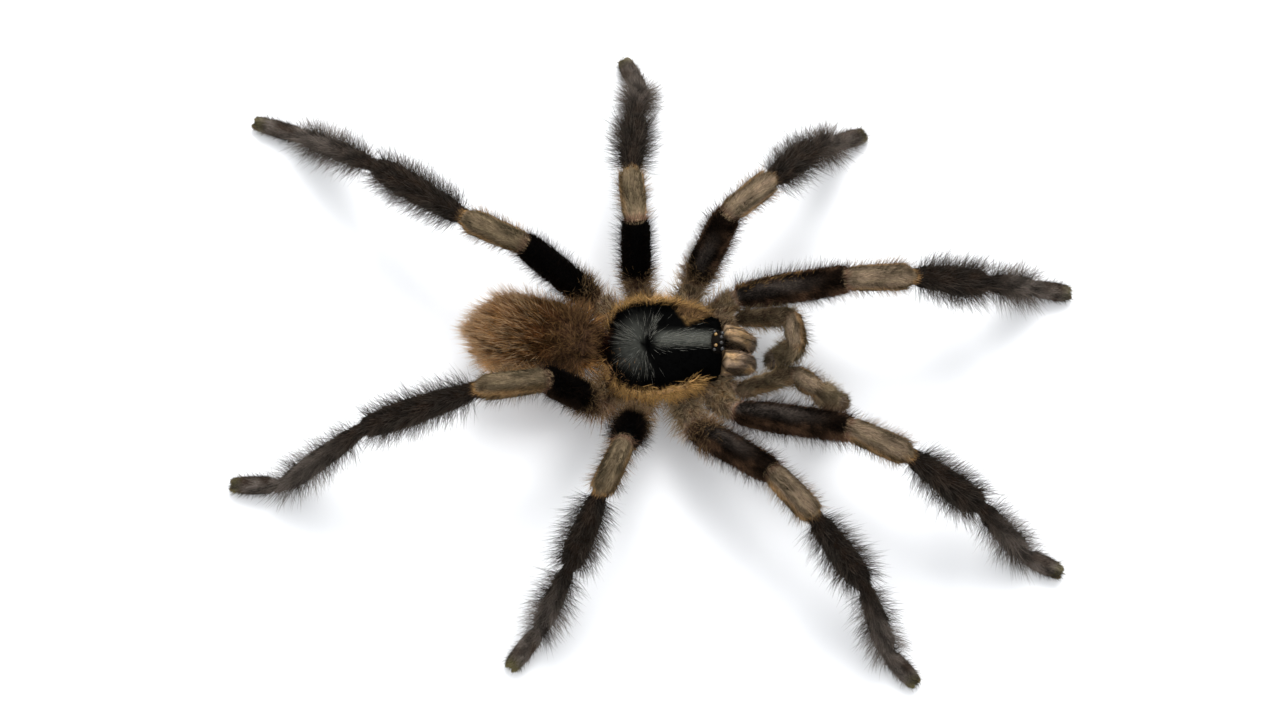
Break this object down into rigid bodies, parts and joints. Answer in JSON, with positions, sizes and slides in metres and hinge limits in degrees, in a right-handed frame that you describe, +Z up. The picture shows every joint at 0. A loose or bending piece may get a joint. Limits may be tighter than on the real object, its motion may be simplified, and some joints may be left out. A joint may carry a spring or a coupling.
{
  "type": "tarantula",
  "caption": "Mature male tarantula standing with its legs spread: dark carapace, ginger abdomen, black bristly legs, a still model at life size.",
  "frame": {"origin": "on the floor under the middle of the box around the whole spider", "axes": "+Z up, the head faces -Y, the spider's left side is +X"},
  "size_m": [0.116, 0.1476, 0.0265],
  "materials": {
    "carapace": "silky, short fine hairs over a hard plate, grey-green sheen",
    "underside": "dark velvety hair",
    "abdomen": "shaggy, long ginger hairs",
    "chelicera": "short tan hair with dark stripes",
    "fang": "polished black-brown horn",
    "eye": "wet gloss, amber to black",
    "thigh": "velvety black hair",
    "patella": "short olive-brown hair",
    "shin": "blackish brown hair with long bristles",
    "foot": "grey-brown hair and dense pads",
    "palp": "brown hair"
  },
  "bodies": {
    "root": {"carapace": "carapace", "sternum": "underside", "abdomen": "abdomen", "eye_mound": "carapace", "chelicera_left": "chelicera", "fang_left": "fang", "spinneret_left": "abdomen", "eye_front_middle_left": "eye", "eye_front_side_left": "eye", "eye_back_middle_left": "eye", "eye_back_side_left": "eye", "leg1_left_thigh": "thigh", "leg1_left_patella": "patella", "leg1_left_tibia": "shin", "leg1_left_foot": "foot", "leg2_left_thigh": "thigh", "leg2_left_patella": "patella", "leg2_left_tibia": "shin", "leg2_left_foot": "foot", "leg3_left_thigh": "thigh", "leg3_left_patella": "patella", "leg3_left_tibia": "shin", "leg3_left_foot": "foot", "leg4_left_thigh": "thigh", "leg4_left_patella": "patella", "leg4_left_tibia": "shin", "leg4_left_foot": "foot", "palp_left_thigh": "palp", "palp_left_patella": "palp", "palp_left_tibia": "palp", "palp_left_tarsus": "palp", "chelicera_right": "chelicera", "fang_right": "fang", "spinneret_right": "abdomen", "eye_front_middle_right": "eye", "eye_front_side_right": "eye", "eye_back_middle_right": "eye", "eye_back_side_right": "eye", "leg1_right_thigh": "thigh", "leg1_right_patella": "patella", "leg1_right_tibia": "shin", "leg1_right_foot": "foot", "leg2_right_thigh": "thigh", "leg2_right_patella": "patella", "leg2_right_tibia": "shin", "leg2_right_foot": "foot", "leg3_right_thigh": "thigh", "leg3_right_patella": "patella", "leg3_right_tibia": "shin", "leg3_right_foot": "foot", "leg4_right_thigh": "thigh", "leg4_right_patella": "patella", "leg4_right_tibia": "shin", "leg4_right_foot": "foot", "palp_right_thigh": "palp", "palp_right_patella": "palp", "palp_right_tibia": "palp", "palp_right_tarsus": "palp"}
  },
  "joints": []
}
